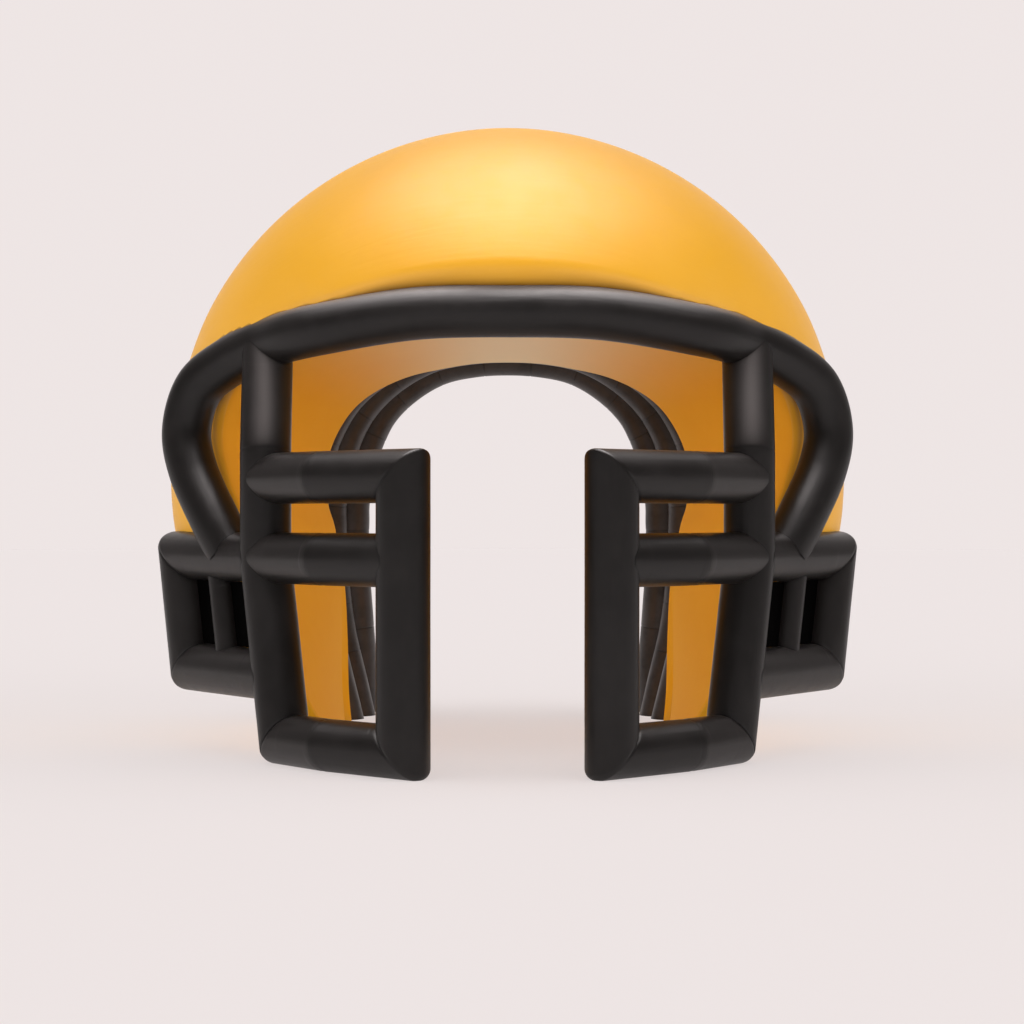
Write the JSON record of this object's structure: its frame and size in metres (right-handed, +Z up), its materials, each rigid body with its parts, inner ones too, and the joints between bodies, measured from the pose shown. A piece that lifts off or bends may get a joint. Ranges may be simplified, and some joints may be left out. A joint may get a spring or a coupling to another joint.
{
  "type": "inflatable helmet tunnel",
  "caption": "Blown cloth walk-through tunnel shaped like a sports helmet: yellow dome open at both ends, black brow tube, face mask split by the walkway, side guards, black rear hoops.",
  "frame": {"origin": "centre of the bounding box in plan, on the floor", "axes": "+Z up, -Y towards the front with the face mask, +X to the right of someone who faces the same way as +Y; the walkway runs along Y"},
  "size_m": [4.2044, 4.4096, 3.745],
  "materials": {
    "shell_cloth": "satin coated cloth, blown tight",
    "brow_cloth": "satin coated cloth, blown tight",
    "hoop_cloth": "satin coated cloth, blown tight",
    "mask_cloth": "satin coated cloth, blown tight",
    "guard_cloth": "satin coated cloth, blown tight",
    "infill_cloth": "matt cloth, flat"
  },
  "bodies": {
    "root": {"shell": "shell_cloth", "brow_tube": "brow_cloth", "hoop_near": "hoop_cloth", "hoop_middle": "hoop_cloth", "hoop_far": "hoop_cloth", "inner_post_left": "mask_cloth", "side_post_left": "mask_cloth", "upper_front_left": "mask_cloth", "upper_side_left": "mask_cloth", "middle_front_left": "mask_cloth", "middle_side_left": "mask_cloth", "bottom_front_left": "mask_cloth", "bottom_side_left": "mask_cloth", "guard_top_left": "guard_cloth", "guard_low_left": "guard_cloth", "guard_outer_left": "guard_cloth", "guard_bar_left": "guard_cloth", "infill_front_left": "infill_cloth", "infill_back_left": "infill_cloth", "inner_post_right": "mask_cloth", "side_post_right": "mask_cloth", "upper_front_right": "mask_cloth", "upper_side_right": "mask_cloth", "middle_front_right": "mask_cloth", "middle_side_right": "mask_cloth", "bottom_front_right": "mask_cloth", "bottom_side_right": "mask_cloth", "guard_top_right": "guard_cloth", "guard_low_right": "guard_cloth", "guard_outer_right": "guard_cloth", "guard_bar_right": "guard_cloth", "infill_front_right": "infill_cloth", "infill_back_right": "infill_cloth"}
  },
  "joints": []
}
